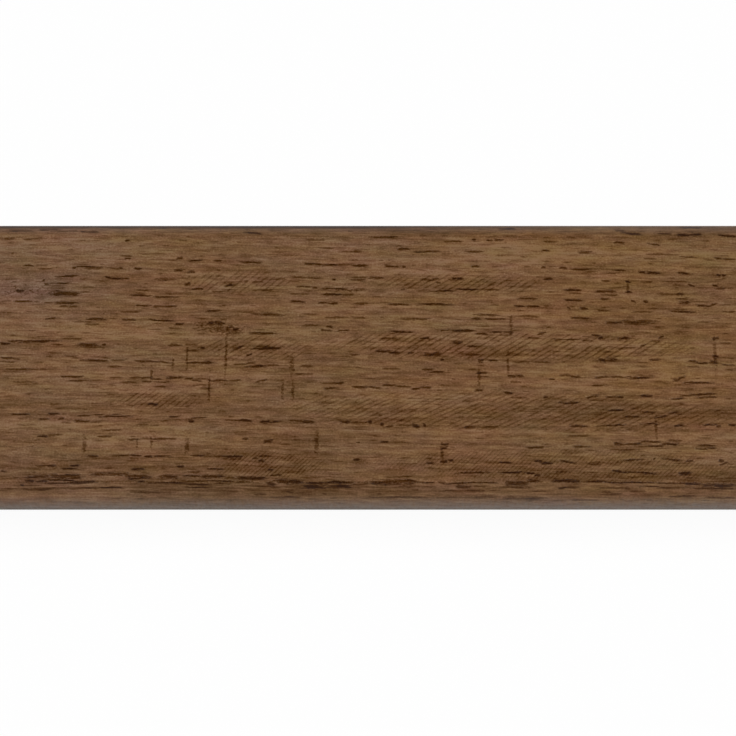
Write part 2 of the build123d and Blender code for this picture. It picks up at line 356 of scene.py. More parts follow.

# Colours of the finish by tone, both as the screen shows them, and the grey of the painted sheen and wear on
# its front edge
TONES = [
    (24, (42, 18, 0)),
    (40, (59, 31, 2)),
    (58, (78, 50, 22)),
    (77, (98, 69, 44)),
    (85, (107, 77, 52)),
    (92, (115, 84, 57)),
    (100, (123, 93, 65)),
    (107, (130, 100, 72)),
]
TONE_SCALE = 120.0
PAINTED_SHEEN_AND_WEAR_COLOUR = (129, 121, 114)

# Tone of the plain finish, and how far each feature moves it
BASE_TONE = 87.5
FEATURE_TONES = {
    "patch": 40.0,
    "streak": 50.0,
    "fibre": 68.0,
    "speckle": 40.0,
    "mist": 36.0,
    "pores": -49.0,
    "strand": -17.0,
    "stream": -20.0,
    "pale": 16.0,
    "fleck": 8.0,
    "rippled": -26.0,
    "sawn": -31.0,
    "mottle": -32.0,
}

# Noises of the finish: length and width of their lumps in millimetres, seed, and where given detail and
# roughness. The first ones lie straight along the strip, the next follow its wandering grain, and the last
# follows the ripple, in radians.
STRAIGHT_NOISES = {
    "wander": ((40.0, 10.0), 3.0),
    "wobble": ((3.0, 2.0), 5.0),
    "unrest": ((5.0, 1.6), 6.0),
    "chatter": ((0.5, 0.3), 7.0),
    "crowd": ((15.0, 3.0), 8.0),
    "bead": ((1.1, 0.16), 14.0, 3.0, 0.75),
    "speckle": ((0.3, 0.24), 16.0, 1.0),
    "fade": ((2.6, 1.1), 18.0),
    "warmth": ((34.0, 12.0), 20.0),
    "fine_warmth": ((6.0, 1.6), 21.0),
    "mist": ((2.4, 1.0), 22.0),
    "wear": ((1.6, 0.3), 23.0, 3.0),
    "ticks": ((0.4, 1.2), 24.0),
    "flush": ((20.0, 6.0), 25.0),
    "fine_flush": ((5.0, 1.4), 26.0),
}
GRAIN_NOISES = {
    "strand": ((3.2, 0.2), 9.0),
    "stream": ((12.0, 0.28), 10.0, 3.0),
    "fibre": ((2.8, 0.4), 11.0, 4.0, 0.55),
    "streak": ((15.0, 0.65), 12.0, 3.0),
    "patch": ((30.0, 5.0), 13.0),
    "fleck": ((2.2, 0.22), 19.0),
}
WAVER_NOISE = ((9.0, 20.0), 17.0)

# How far the grain wanders and the pores wobble across the strip
WANDER = 0.8
WOBBLE = 0.35

# Small pores of each material: height and length of their cells, the ranges of their lengths and widths, the
# share of cells that have one, and seed
SMALL_PORES = (0.8, 4.0, (0.8, 2.5), (0.25, 0.5), 0.5, 40.0)
RAW_PORES = (0.7, 4.5, (0.8, 3.0), (0.2, 0.4), 0.5, 50.0)
END_PORES = (0.45, 0.5, (0.12, 0.3), (0.12, 0.3), 0.6, 60.0)
SMALL_PORE_STRENGTH = 0.42

# Raw wood: its colours by shade, the step of the planer's marks and of the growth rings, and the slant of the
# saw's scratches, as shares along and across
RAW_SHADES = [(0.0, (0.09, 0.052, 0.028)), (0.5, (0.2, 0.122, 0.068)), (1.0, (0.29, 0.185, 0.108))]
PLANER_STEP = 1.6
RING_STEP = 8.5
SCRATCH_ALONG, SCRATCH_ACROSS = 0.94, 0.34

# Specular level of each material
FINISH_GLOSS = 0.22
RAW_GLOSS = 0.2
END_GLOSS = 0.15

# Sockets of the node that mixes colours: its share, the two colours and the outcome
MIX_SHARE, MIX_FIRST, MIX_SECOND = 0, 6, 7
MIX_COLOUR = 2

# Floor and light, in metres and watts
FLOOR_RADIUS = 4.5
FLOOR_CURVE = 1.5
WALL_HEIGHT = 4.0
FLOOR_STEPS = 12
FLOOR_SIDES = 64
FLOOR_PAINT = (0.85, 0.85, 0.85, 1)
FLOOR_GLOW = 0.95
WHITE = (1, 1, 1, 1)
ROOM_LIGHT = 0.05
SOFTBOX_PLACE = (1.6, -0.1, 1.9)
SOFTBOX_SIZE = 1.4
SOFTBOX_POWER = 42.0


# Section of the strip

def straight(start, end, step):
    """Points from start up to end, without end, no further apart than step."""
    count = max(1, round(hypot(end[0] - start[0], end[1] - start[1]) / step))
    share = np.arange(count)[:, None] / count
    return np.array(start) + share * (np.array(end) - np.array(start))


def rounded(centre, radius, start, end, step):
    """Points on an arc, without its last, by the angle of its radius from +Z towards +Y, in radians."""
    count = max(3, round(abs(end - start) * radius / step))
    turn = start + np.arange(count) / count * (end - start)
    return np.stack([centre[0] + radius * np.sin(turn), centre[1] + radius * np.cos(turn)], axis=1)


def half_section():
    """Points (across, height) from the middle of the crown down the back to the middle of the foot.

    The finished show face comes first, down to the lip. Gives the points and how many are on that face.
    """
    edge_top = OVERALL_HEIGHT - CROWN_RISE
    lip_level = edge_top - EDGE_HEIGHT
    soffit = lip_level + RELIEF_DEPTH
    stem_half = STEM_WIDTH / 2
    crown_radius = (CAP_HALF ** 2 + CROWN_RISE ** 2) / (2 * CROWN_RISE)
    crown_centre = (0.0, OVERALL_HEIGHT - crown_radius)
    nose_across = CAP_HALF - NOSE_RADIUS
    nose_height = crown_centre[1] + sqrt((crown_radius - NOSE_RADIUS) ** 2 - nose_across ** 2)
    nose_start = atan2(nose_across, nose_height - crown_centre[1])
    corner = (CAP_HALF - LIP_CORNER_RADIUS, lip_level + LIP_CORNER_RADIUS)
    lip_inner = CAP_HALF - LIP_WIDTH
    root = (stem_half + STEM_ROOT_RADIUS, soffit - STEM_ROOT_RADIUS)
    show_face = np.concatenate([
        rounded(crown_centre, crown_radius, 0, nose_start, SHOW_STEP),
        rounded((nose_across, nose_height), NOSE_RADIUS, nose_start, pi / 2, ROUND_STEP),
        straight((CAP_HALF, nose_height), (CAP_HALF, corner[1]), ROUND_STEP),
        rounded(corner, LIP_CORNER_RADIUS, pi / 2, pi, ROUND_STEP),
    ])
    underside = np.concatenate([
        straight((corner[0], lip_level), (lip_inner, lip_level), PLAIN_STEP),
        straight((lip_inner, lip_level), (lip_inner - RELIEF_DEPTH, soffit), PLAIN_STEP),
        straight((lip_inner - RELIEF_DEPTH, soffit), (root[0], soffit), PLAIN_STEP),
        rounded(root, STEM_ROOT_RADIUS, 0, -pi / 2, ROUND_STEP),
        straight((stem_half, root[1]), (stem_half, FOOT_CHAMFER), PLAIN_STEP),
        straight((stem_half, FOOT_CHAMFER), (stem_half - FOOT_CHAMFER, 0), PLAIN_STEP),
        straight((stem_half - FOOT_CHAMFER, 0), (0, 0), PLAIN_STEP),
        np.array([(0.0, 0.0)]),
    ])
    return np.concatenate([show_face, underside]), len(show_face)


def whole_section():
    """The closed section from the foot's middle up the front, over the crown and down the back.

    Gives its points, their distance from the crown's middle along the surface, less than 0 at the front,
    and the distance at which the show face ends. The last point lies on the first.
    """
    back, show_count = half_section()
    steps = np.hypot(*np.diff(back, axis=0).T)
    reach = np.concatenate([[0.0], np.cumsum(steps)])
    front = back[:0:-1] * (-1, 1)
    return np.concatenate([front, back]), np.concatenate([-reach[:0:-1], reach]), reach[show_count]


section, section_reach, show_reach = whole_section()
stations = np.linspace(-LENGTH / 2, LENGTH / 2, STATIONS + 1)


# The photo's view, and where its pixels lie on the strip

class View:
    """A camera that leans towards the front, fitted so that the strip fills the photo's rows."""

    def __init__(self):
        self.focal = LENS / SENSOR * PHOTO_SIZE
        self.up = np.array([cos(VIEW_LEAN), sin(VIEW_LEAN)])
        self.back = np.array([-sin(VIEW_LEAN), cos(VIEW_LEAN)])
        self.eye = np.array([0.0, OVERALL_HEIGHT]) + FIRST_DISTANCE * self.back
        for _ in range(FIT_ROUNDS):
            rows, depths = self.rows(section)
            wide = (rows.max() - rows.min()) / (BAND_BOTTOM_ROW - BAND_TOP_ROW)
            self.eye = self.eye + self.back * depths.min() * (wide - 1)
            rows, depths = self.rows(section)
            low = (BAND_BOTTOM_ROW + BAND_TOP_ROW - rows.max() - rows.min()) / 2
            self.eye = self.eye + self.up * low * depths.min() / self.focal
        rows, depths = self.rows(section)
        middle = len(section) // 2
        seen = slice(rows[:middle].argmax(), middle + rows[middle:].argmin() + 1)
        self.seen_rows = rows[seen][::-1]
        self.seen_reach = section_reach[seen][::-1]
        self.seen_depth = depths[seen][::-1]
        self.mm = depths.min() / self.focal

    def rows(self, points):
        """The pixel row and the depth of points of the section."""
        offset = points - self.eye
        depth = -offset @ self.back
        return PHOTO_SIZE / 2 - self.focal * (offset @ self.up) / depth, depth

    def place(self, column, row):
        """Where a pixel lies along the strip and across its drifting grain."""
        depth = np.interp(row, self.seen_rows, self.seen_depth)
        along = (column - PHOTO_SIZE / 2) * depth / self.focal
        return along, np.interp(row, self.seen_rows, self.seen_reach) + grain_drift(along)

    def scale(self, row):
        """Millimetres of surface to a pixel across the strip at a row."""
        above, below = np.interp((row - 0.5, row + 0.5), self.seen_rows, self.seen_reach)
        return above - below

    def spot(self, column, row, width, height):
        """A spot of the photo as (along, across, half length, half width) on the strip."""
        return (*self.place(column, row), width / 2 * self.mm, height / 2 * self.scale(row))


def grain_drift(along):
    """How far the grain has drifted across the strip at a place along it."""
    return GRAIN_SWING * np.sin(np.asarray(along) / GRAIN_SWING_LENGTH)


view = View()


# Grain marks, as (along, across, half length, half width, strength, slope)

def chance_pores():
    """Pores of the rest of the strip, in broken lines along the grain, like those of the photo."""
    marks = []
    line = -show_reach - GRAIN_SWING
    while line < show_reach + GRAIN_SWING:
        line += chance.uniform(*PORE_LINE_STEPS)
        along = -LENGTH / 2 + chance.uniform(0, 20)
        crowd = chance.uniform(0.5, 1.6)
        while along < LENGTH / 2:
            half_length = chance.uniform(*PORE_HALF_LENGTHS)
            along += half_length
            if abs(along) > PHOTO_REACH:
                place = (along, line + chance.normal(0, 0.12))
                strength = chance.choice((FAINT_STRENGTH, 1.0))
                half_width = chance.uniform(*PORE_HALF_WIDTHS)
                marks.append((*place, half_length, half_width, strength, chance.normal(0, 0.03)))
            along += half_length + chance.exponential(PORE_GAP / crowd)
    return marks


def all_pores():
    """The placed pores, dark and faint, and the pores of the rest of the strip."""
    marks = []
    faint = [(left, right, row, row, FAINT_THICKNESS) for left, right, row in FAINT_PORES]
    for strength, pores in ((1.0, DARK_PORES), (FAINT_STRENGTH, faint)):
        for left, right, left_row, right_row, thickness in pores:
            first, last = view.place(left, left_row), view.place(right, right_row)
            slope = (last[1] - first[1]) / (last[0] - first[0])
            size = (right - left) * PORE_LENGTHENED, thickness * PORE_THICKENED
            marks.append((*view.spot((left + right) / 2, (left_row + right_row) / 2, *size), strength, slope))
    return marks + chance_pores()


def all_saw_marks():
    """The placed saw marks, and a few on the rest of the strip."""
    marks = []
    for column, upper, lower, thickness in SAW_MARKS:
        marks.append((*view.spot(column, (upper + lower) / 2, thickness, lower - upper), 1.0, 0.0))
    for along in np.arange(-LENGTH / 2, LENGTH / 2, SAW_STEP):
        place = along + chance.uniform(-4, 4), chance.uniform(-20, 20)
        half_size = chance.uniform(*SAW_HALF_WIDTHS), chance.uniform(*SAW_HALF_LENGTHS)
        if abs(place[0]) > PHOTO_REACH:
            marks.append((*place, *half_size, chance.uniform(0.6, 1.0), 0.0))
    return marks


def all_ripples():
    """The placed patches of ripple, and some on the rest, with (slant, spacing) after the strength."""
    patches = []
    for left, right, upper, lower, slant, spacing, strength in RIPPLES:
        spot = view.spot((left + right) / 2, (upper + lower) / 2, right - left, lower - upper)
        patches.append((*spot, strength, slant, spacing * view.mm))
    for along in np.arange(-LENGTH / 2, LENGTH / 2, RIPPLE_STEP):
        across = chance.choice(RIPPLE_LINES) + chance.normal(0, 0.6)
        half_size = chance.uniform(*RIPPLE_HALF_LENGTHS), chance.uniform(*RIPPLE_HALF_WIDTHS)
        if abs(along) > PHOTO_REACH + half_size[0]:
            strength = chance.uniform(0.5, 1.0)
            slant = chance.uniform(*RIPPLE_SLANTS)
            patches.append((along, across, *half_size, strength, slant, chance.uniform(*RIPPLE_SPACINGS)))
    return patches


def smooth(value, start, end):
    """0 below start, 1 above end, and smooth between."""
    share = np.clip((value - start) / (end - start), 0, 1)
    return share * share * (3 - 2 * share)


class Surface:
    """The show face as a grid of points and faces, and what the grain has on each of them."""

    def __init__(self):
        self.point_along = stations[:, None]
        self.point_across = section_reach[None, :] + grain_drift(self.point_along)
        self.along = (stations[:-1, None] + stations[1:, None]) / 2
        self.half_along = LENGTH / STATIONS / 2
        self.across = (section_reach[None, :-1] + section_reach[None, 1:]) / 2 + grain_drift(self.along)
        self.half_across = np.diff(section_reach)[None, :] / 2

    def nearest(self, marks, count):
        """The marks nearest to each face, as count layers of mark numbers.

        How near a mark is depends on how far the face lies outside it, in the mark's half sizes.
        """
        layers = [np.full(self.across.shape, -1) for _ in range(count)]
        gaps = [np.full(self.across.shape, MARK_REACH ** 2) for _ in range(count)]
        for number, (along, across, half_length, half_width, _, slope) in enumerate(marks):
            spread = half_length * MARK_REACH + self.half_along
            rows = slice(*np.searchsorted(self.along[:, 0], (along - spread, along + spread)))
            reach = across - grain_drift(along)
            spread = half_width * MARK_REACH + half_length * abs(slope) + GRAIN_SWING / 4
            columns = slice(*np.searchsorted(section_reach[:-1], (reach - spread, reach + spread)))
            off_along = np.maximum(np.abs(self.along[rows] - along) - self.half_along, 0) / half_length
            middle = across + slope * (self.along[rows] - along)
            off_across = np.abs(self.across[rows, columns] - middle) - self.half_across[:, columns]
            gap = off_along ** 2 + (np.maximum(off_across, 0) / half_width) ** 2
            held = np.full(gap.shape, number)
            for layer, known in zip(layers, gaps):
                nearer = gap < known[rows, columns]
                pushed = np.where(nearer, known[rows, columns], gap)
                pushed_mark = np.where(nearer, layer[rows, columns], held)
                known[rows, columns] = np.where(nearer, gap, known[rows, columns])
                layer[rows, columns] = np.where(nearer, held, layer[rows, columns])
                gap, held = pushed, pushed_mark
        return layers

    def closeness(self, spot):
        """1 at a spot's middle, 0 at its outline and less outside it, for each point."""
        along, across, half_length, half_width = spot
        off_along = (self.point_along - along) / half_length
        off_across = (self.point_across - across) / half_width
        return 1 - np.hypot(off_along, off_across)

    def ripple(self, patches):
        """How strongly each point is rippled, and the number of the patch that ripples each face."""
        strength = np.zeros(self.point_across.shape)
        owner = np.zeros(self.across.shape, int)
        most = np.zeros(self.across.shape)
        for number, (*spot, patch_strength, _, _) in enumerate(patches):
            here = smooth(self.closeness(spot), 0.0, 0.45) * patch_strength
            strength = np.maximum(strength, here)
            on_face = (here[:-1, :-1] + here[1:, 1:]) / 2
            owner = np.where(on_face > most, number, owner)
            most = np.maximum(on_face, most)
        return strength, owner


surface = Surface()


# Mesh of the strip

def face_layer(mesh, name, values):
    """Three values for each face of the mesh; both ends get zeros."""
    layer = mesh.attributes.new(name, "FLOAT_VECTOR", "FACE")
    values = np.concatenate([values.reshape(-1, 3), np.zeros((2, 3))])
    layer.data.foreach_set("vector", values.astype(np.float32).ravel())


def point_layer(mesh, name, values):
    """One value for each point of the mesh; the section's last point lies on its first."""
    layer = mesh.attributes.new(name, "FLOAT", "POINT")
    layer.data.foreach_set("value", values[:, :-1].astype(np.float32).ravel())


def mark_layers(mesh, name, marks, count):
    """The nearest marks of each face: place and strength, and the inverse of the half sizes and the slope."""
    table = np.array([*marks, NO_MARK])
    for number, layer in enumerate(surface.nearest(marks, count)):
        chosen = table[layer]
        sizes = np.stack([1 / chosen[..., 2], 1 / chosen[..., 3], chosen[..., 5]], axis=-1)
        face_layer(mesh, f"{name}_place_{number}", chosen[..., (0, 1, 4)])
        face_layer(mesh, f"{name}_size_{number}", sizes)


def stroke(left, right, row, thickness):
    """A stroke of the photo along a row, as a spot on the strip."""
    return view.spot((left + right) / 2, row, right - left, thickness)


def painted_edge_shade_tones(which):
    """The tone of the painted shade lines at both edges, by place round the section, sound (1) or worn (2).
    """
    places = [view.place(PHOTO_SIZE / 2, line[0])[1] for line in PAINTED_EDGE_SHADE]
    places = [places[0] + PAINTED_SHADE_FADE, *places, places[-1] - PAINTED_SHADE_FADE]
    tones = [0, *(line[which] for line in PAINTED_EDGE_SHADE), 0]
    return np.interp(section_reach, places[::-1], tones[::-1])


def grain_layers(mesh):
    """What the grain's nodes read from the mesh."""
    mark_layers(mesh, "pore", all_pores(), PORE_LAYERS)
    mark_layers(mesh, "saw", all_saw_marks(), 1)
    patches = all_ripples()
    strength, owner = surface.ripple(patches)
    point_layer(mesh, "ripple", strength)
    waves = np.array([
        (2 * pi / spacing * sin(radians(slant)), -2 * pi / spacing * cos(radians(slant)), 0.0)
        for *_, slant, spacing in patches
    ])
    face_layer(mesh, "ripple_wave", waves[owner])
    mottle = [surface.closeness(view.spot(*spot)) * strength for *spot, strength in SMUDGES]
    point_layer(mesh, "mottle", np.clip(np.max(mottle, axis=0) * 1.6, 0, 1))
    pale = [surface.closeness(stroke(*mark)) for mark in PALE_STROKES]
    point_layer(mesh, "pale", np.maximum(np.max(pale, axis=0), 0))
    band_places = [view.place(PHOTO_SIZE / 2, row)[1] for row, _ in reversed(BANDS)]
    band_tones = [tone for _, tone in reversed(BANDS)]
    stream = [smooth(surface.closeness(stroke(*mark)), 0, 0.6) * strength for *mark, strength in STREAMS]
    point_layer(mesh, "stream", np.max(stream, axis=0))
    cool = [smooth(surface.closeness(view.spot(*spot)), 0, 0.8) * share for *spot, share in COOL_SPOTS]
    point_layer(mesh, "cool", np.sum(cool, axis=0))
    # Painted sheen: the front edge's rounding turns grey towards the lip, as if it reflected the bright floor
    edge_start, edge_end = (view.place(PHOTO_SIZE / 2, row)[1] for row in PAINTED_SHEEN_ROWS)
    painted_edge_sheen = smooth(-section_reach, -edge_start, -edge_end)
    point_layer(mesh, "painted_edge_sheen", np.broadcast_to(painted_edge_sheen, surface.point_across.shape))
    wear_places = [view.place(column, PAINTED_SHEEN_ROWS[1])[0] for column in WEAR_COLUMNS]
    wear_start, wear_end = np.sin(np.array(wear_places) / WEAR_LENGTH)
    wear = smooth(np.sin(surface.point_along / WEAR_LENGTH), wear_start, wear_end)
    point_layer(mesh, "worn", painted_edge_sheen * wear)
    nose = smooth(np.abs(section_reach), CAP_HALF - NOSE_RADIUS, CAP_HALF)
    point_layer(mesh, "nose", np.broadcast_to(nose, surface.point_across.shape))
    # Painted shade along both edges, fainter where the edge is worn, goes in with the tones of the bands
    edge_shade = painted_edge_shade_tones(1) * (1 - wear) + painted_edge_shade_tones(2) * wear
    point_layer(mesh, "bands_and_edge_shade", np.interp(surface.point_across, band_places, band_tones) + edge_shade)


def bake_map(mesh, station, column):
    """A bake map: the length folded into rows, and the two ends beside them."""
    row_length = STATIONS // BAKE_ROWS
    row, first = np.divmod(station, row_length)
    along = np.stack([first, first + 1, first + 1, first], axis=-1) / row_length * (BAKE_WIDTH - BAKE_GAP)
    foot = section_reach[-1]
    height = np.interp(
        section_reach,
        (-foot, -show_reach, show_reach, foot),
        (BAKE_GAP, BAKE_UNDERSIDE, 1 - BAKE_UNDERSIDE, 1 - BAKE_GAP),
    )
    across = np.stack([height[column], height[column], height[column + 1], height[column + 1]], axis=-1)
    across = (across + row[..., None]) / BAKE_ROWS
    sides = np.stack([along + BAKE_GAP, across], axis=-1).reshape(-1, 2)

    end_scale = (1 - BAKE_WIDTH - 2 * BAKE_GAP) / OVERALL_HEIGHT
    end = np.stack([section[:-1, 1], section[:-1, 0] + CAP_HALF], axis=1) * end_scale
    near_end = end + (BAKE_WIDTH + BAKE_GAP, BAKE_GAP)
    far_end = end[::-1] + (BAKE_WIDTH + BAKE_GAP, 0.5)
    layer = mesh.uv_layers.new(name="OFBake")
    layer.data.foreach_set("uv", np.concatenate([sides, near_end, far_end]).astype(np.float32).ravel())


def strip_mesh():
    """The strip as a closed mesh, with a grain map in millimetres along and across the surface."""
    columns = len(section) - 1
    rings = np.empty((STATIONS + 1, columns, 3))
    rings[:, :, 0] = stations[:, None]
    rings[:, :, 1] = section[:-1, 0]
    rings[:, :, 2] = section[:-1, 1]

    station, column = np.meshgrid(np.arange(STATIONS), np.arange(columns), indexing="ij")
    beside = (column + 1) % columns
    quads = np.stack([
        station * columns + column,
        (station + 1) * columns + column,
        (station + 1) * columns + beside,
        station * columns + beside,
    ], axis=-1).reshape(-1, 4)
    near_end = list(range(columns))
    far_end = list(range(STATIONS * columns + columns - 1, STATIONS * columns - 1, -1))
    mesh = bpy.data.meshes.new("t_moulding_strip")
    mesh.from_pydata((rings.reshape(-1, 3) * MM).tolist(), [], quads.tolist() + [near_end, far_end])

    point_map = np.stack(np.broadcast_arrays(surface.point_along, surface.point_across), axis=-1)
    side_map = np.stack([
        point_map[station, column],
        point_map[station + 1, column],
        point_map[station + 1, column + 1],
        point_map[station, column + 1],
    ], axis=-2).reshape(-1, 2)
    end_map = np.concatenate([section[:-1], section[:-1][::-1]])
    grain = mesh.uv_layers.new(name="grain")
    grain.data.foreach_set("uv", np.concatenate([side_map, end_map]).astype(np.float32).ravel())

    bake_map(mesh, station, column)

    shown = np.abs(section_reach[:-1] + section_reach[1:]) / 2 < show_reach
    materials = np.concatenate([np.where(np.tile(shown, STATIONS), FINISH, RAW), [END, END]])
    mesh.polygons.foreach_set("material_index", materials.astype(np.int32))
    mesh.polygons.foreach_set("use_smooth", np.ones(len(mesh.polygons), bool))
    mesh.set_sharp_from_angle(angle=radians(30))
    grain_layers(mesh)
    return mesh


# Node patterns

class Field:
    """A value that varies over a surface. Arithmetic on fields makes the nodes that work it out."""

    def __init__(self, tree, socket):
        self.tree = tree
        self.socket = socket

    def __add__(self, other):
        return maths("ADD", self, other)

    def __radd__(self, other):
        return maths("ADD", other, self)

    def __sub__(self, other):
        return maths("SUBTRACT", self, other)

    def __rsub__(self, other):
        return maths("SUBTRACT", other, self)

    def __mul__(self, other):
        return maths("MULTIPLY", self, other)

    def __truediv__(self, other):
        return maths("DIVIDE", self, other)

    def outputs(self):
        """All outputs of this field's node, as fields."""
        return [Field(self.tree, socket) for socket in self.socket.node.outputs]


def make(tree, kind, inputs=(), output=0, **settings):
    """A new node with its settings and its inputs, by number or by name, as a field of one output."""
    made = tree.nodes.new(kind)
    for name, value in settings.items():
        setattr(made, name, value)
    for name, value in dict(inputs).items():
        if isinstance(value, Field):
            tree.links.new(value.socket, made.inputs[name])
        else:
            made.inputs[name].default_value = value
    return Field(tree, made.outputs[output])


def tree_of(values):
    """The node tree of the first field among some values."""
    return next(value.tree for value in values if isinstance(value, Field))


def maths(operation, *values, clamp=False):
    """One step of arithmetic."""
    return make(tree_of(values), "ShaderNodeMath", enumerate(values), operation=operation, use_clamp=clamp)


def highest_of(first, second):
    """The higher of two fields."""
    return maths("MAXIMUM", first, second)


def step_up(value, start, end):
    """0 below start, 1 above end, and smooth between."""
    inputs = {"Value": value, "From Min": start, "From Max": end}
    return make(value.tree, "ShaderNodeMapRange", inputs, interpolation_type="SMOOTHSTEP")


def vector(x, y, z=0.0):
    """Three values as one vector."""
    return make(tree_of((x, y, z)), "ShaderNodeCombineXYZ", enumerate((x, y, z)))


def parts_of(field):
    """The three values of a vector."""
    return make(field.tree, "ShaderNodeSeparateXYZ", {"Vector": field}).outputs()


def clouds(place, size, seed, detail=2.0, roughness=0.5):
    """Smooth noise around 0, from -0.5 to 0.5, with lumps of this size along and across."""
    along, across = place
    spot = vector(along / size[0], across / size[1], seed)
    inputs = {"Vector": spot, "Scale": 1.0, "Detail": detail, "Roughness": roughness}
    return make(along.tree, "ShaderNodeTexNoise", inputs, noise_dimensions="3D") - 0.5


def chances(x, y, seed):
    """Three random values from 0 to 1 for each pair of whole numbers."""
    tree = tree_of((x, y))
    inputs = {"Vector": vector(x, y, seed)}
    colour = make(tree, "ShaderNodeTexWhiteNoise", inputs, "Color", noise_dimensions="3D")
    return make(tree, "ShaderNodeSeparateColor", {"Color": colour}).outputs()


def from_mesh(tree, name, output="Fac"):
    """A value that the mesh holds."""
    return make(tree, "ShaderNodeAttribute", output=output, attribute_name=name)


def dash_field(place, row, cell, length, width, share, seed):
    """Small pores: one dash to a cell of a grid, each with its own place, length and width, some left out.

    Rises from 0 at a dash's outline to 1 at its middle.
    """
    along, across = place
    line = maths("FLOOR", across / row)
    slide = chances(line, 0.0, seed)[0]
    position = along / cell + slide * 9.0
    number = maths("FLOOR", position)
    where, height, long = chances(number, line, seed + 1)
    wide, kept, _ = chances(number, line, seed + 2)
    half_length = length[0] / 2 + long * ((length[1] - length[0]) / 2)
    half_width = width[0] / 2 + wide * ((width[1] - width[0]) / 2)
    off_along = (position - number - 0.32 - where * 0.36) * cell / half_length
    off_across = (across / row - line - 0.3 - height * 0.4) * row / half_width
    closeness = 1.0 - maths("SQRT", off_along * off_along + off_across * off_across)
    return closeness * maths("LESS_THAN", kept, share)


def marks_here(place, name, number):
    """How close a point is to a near mark, 1 at its middle and 0 at its outline, and the mark's strength."""
    tree = place[0].tree
    mark_along, mark_across, strength = parts_of(from_mesh(tree, f"{name}_place_{number}", "Vector"))
    by_length, by_width, slope = parts_of(from_mesh(tree, f"{name}_size_{number}", "Vector"))
    off_along = place[0] - mark_along
    off_across = (place[1] - mark_across - off_along * slope) * by_width
    blunt = maths("POWER", maths("ABSOLUTE", off_along * by_length), 4.0)
    return 1.0 - maths("SQRT", blunt + off_across * off_across), strength


def ramp(value, stops):
    """A colour for each value, through stops of (value, colour)."""
    shade = make(value.tree, "ShaderNodeValToRGB", {"Fac": value}, "Color")
    elements = shade.socket.node.color_ramp.elements
    for index, (position, colour) in enumerate(stops):
        element = elements[index] if index < 2 else elements.new(position)
        element.position = position
        element.color = (*colour, 1.0)
    return shade


def blend(share, first, second):
    """A field of colours blended by a share, from 0 to 1, into one colour."""
    inputs = {MIX_SHARE: share, MIX_FIRST: first, MIX_SECOND: (*second, 1.0)}
    return make(share.tree, "ShaderNodeMix", inputs, MIX_COLOUR, data_type="RGBA")


def new_material(name):
    """A material, its node tree and its shader."""
    material = bpy.data.materials.new(name)
    material.use_nodes = True
    tree = material.node_tree
    return material, tree, tree.nodes["Principled BSDF"]


# Materials

def screen(value):
    """A value of the screen, 0 to 255, as linear light."""
    share = value / 255
    return share / 12.92 if share <= 0.04045 else ((share + 0.055) / 1.055) ** 2.4


def screen_colour(colour):
    """A colour of the screen as linear light."""
    return tuple(map(screen, colour))


def grain_place(tree):
    """Where a point lies on the grain map."""
    along, across, _ = parts_of(make(tree, "ShaderNodeUVMap", output="UV", uv_map="grain"))
    return along, across


def dress(shader, colour, height, dull, gloss):
    """Links a shader's colour, relief and roughness, and sets its specular level."""
    tree = colour.tree
    relief = make(tree, "ShaderNodeBump", {"Height": height, "Distance": MM})
    for name, field in (("Base Color", colour), ("Normal", relief), ("Roughness", dull)):
        tree.links.new(field.socket, shader.inputs[name])
    shader.inputs["Specular IOR Level"].default_value = gloss


def pore_shade(spot, grain, bead):
    """How dark the pores are at a point: those that the mesh holds, and small ones between them."""
    pores = step_up(dash_field(grain, *SMALL_PORES) + bead * 2.4, 0.2, 0.65) * SMALL_PORE_STRENGTH
    for number in range(PORE_LAYERS):
        closeness, strength = marks_here(spot, "pore", number)
        pores = highest_of(pores, step_up(closeness + bead * 2.4, 0.15, 0.75) * strength)
    return pores


def ripple_shade(flat, noise):
    """How dark the ripple is at a point."""
    along, across = flat
    along_wave, across_wave, _ = parts_of(from_mesh(along.tree, "ripple_wave", "Vector"))
    phase = along * along_wave + across * across_wave
    course = across * along_wave - along * across_wave
    wave = maths("SINE", phase + noise["unrest"] * 3.4) + clouds((phase, course), *WAVER_NOISE) * 3.0
    fade = step_up(noise["fade"], -0.32, 0.04)
    return (step_up(wave, 0.0, 1.15) * fade + 0.1) * from_mesh(along.tree, "ripple")


